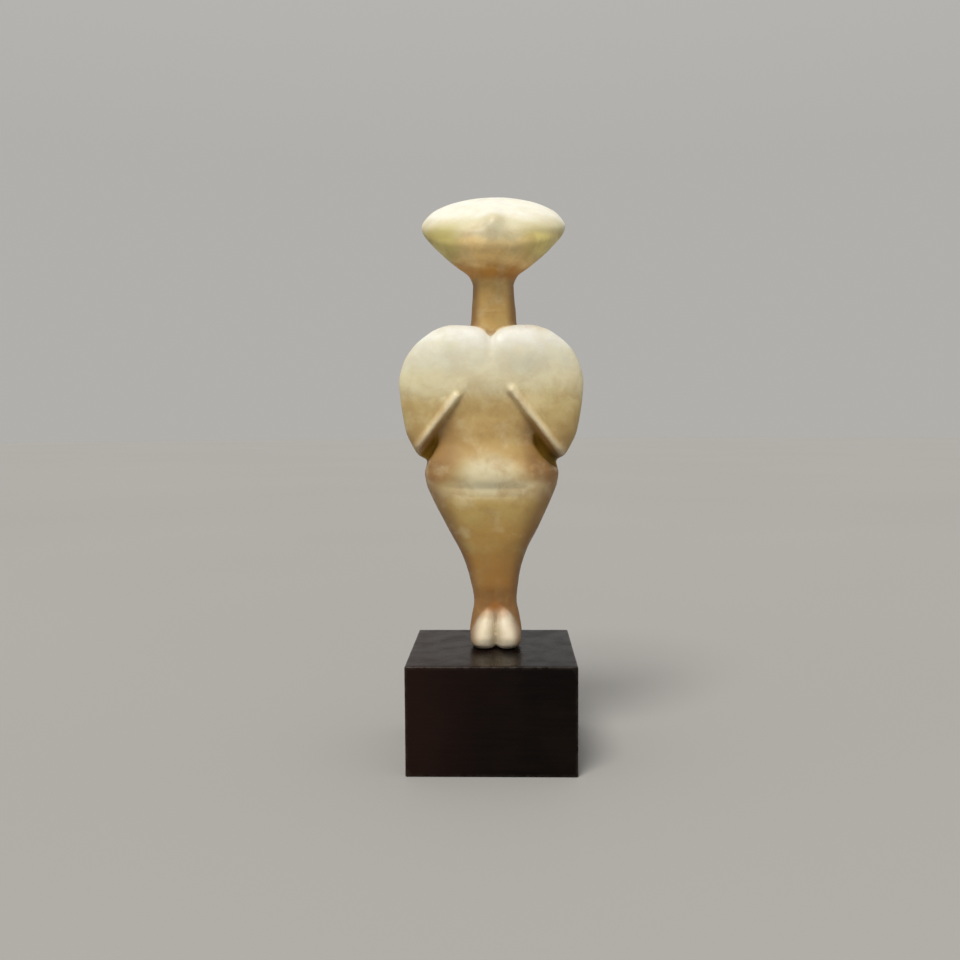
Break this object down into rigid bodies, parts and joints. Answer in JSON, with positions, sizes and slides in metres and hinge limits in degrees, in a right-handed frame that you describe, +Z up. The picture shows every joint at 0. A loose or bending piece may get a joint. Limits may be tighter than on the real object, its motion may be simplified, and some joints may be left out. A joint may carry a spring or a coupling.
{
  "type": "kilia-type idol on a block",
  "caption": "Flat, broad-shouldered marble idol with its head tipped back and its forearms raised in relief, standing on a square dark block.",
  "frame": {"origin": "centre of the block's underside", "axes": "+Z up through the figure, -Y the way the figure faces, +X to the figure's left"},
  "size_m": [0.068, 0.06, 0.2086],
  "materials": {
    "idol": "smoothed marble with a honey-brown patina, paler on its upper surfaces",
    "stand_block": "near-black lacquer, satin"
  },
  "bodies": {
    "root": {"idol": "idol", "stand_block": "stand_block"}
  },
  "joints": []
}
